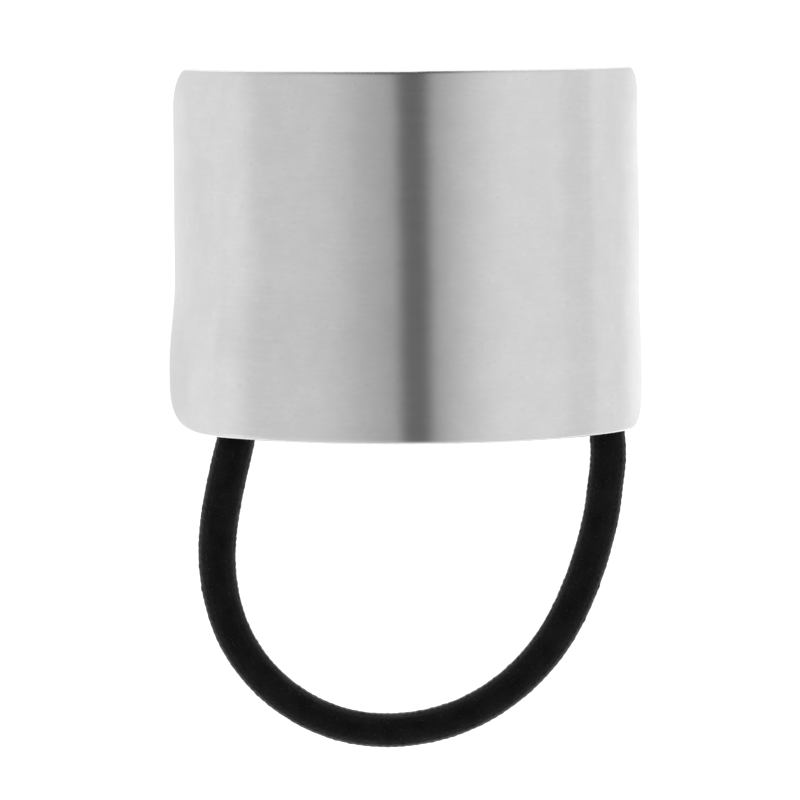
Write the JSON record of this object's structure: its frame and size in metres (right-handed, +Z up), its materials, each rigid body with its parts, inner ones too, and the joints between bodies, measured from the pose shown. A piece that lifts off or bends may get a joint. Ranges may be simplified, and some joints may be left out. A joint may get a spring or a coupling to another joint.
{
  "type": "ponytail cuff",
  "caption": "Arched brushed metal plate with rounded corners that covers the tie of a ponytail, held on by a round covered elastic ring threaded through keepers on its hollow side.",
  "frame": {"origin": "on the surface that the cuff lies on, under the middle of the plate", "axes": "+X across the arch, +Y along the arch's axis and away from the elastic's loop, +Z up through the crown"},
  "size_m": [0.054, 0.0779, 0.0182],
  "materials": {
    "brushed_metal": "satin, brushed round the arch",
    "elastic_cover": "matt black knitted cover with a short fuzz"
  },
  "bodies": {
    "root": {"cuff_plate": "brushed_metal", "elastic": "elastic_cover"}
  },
  "joints": []
}
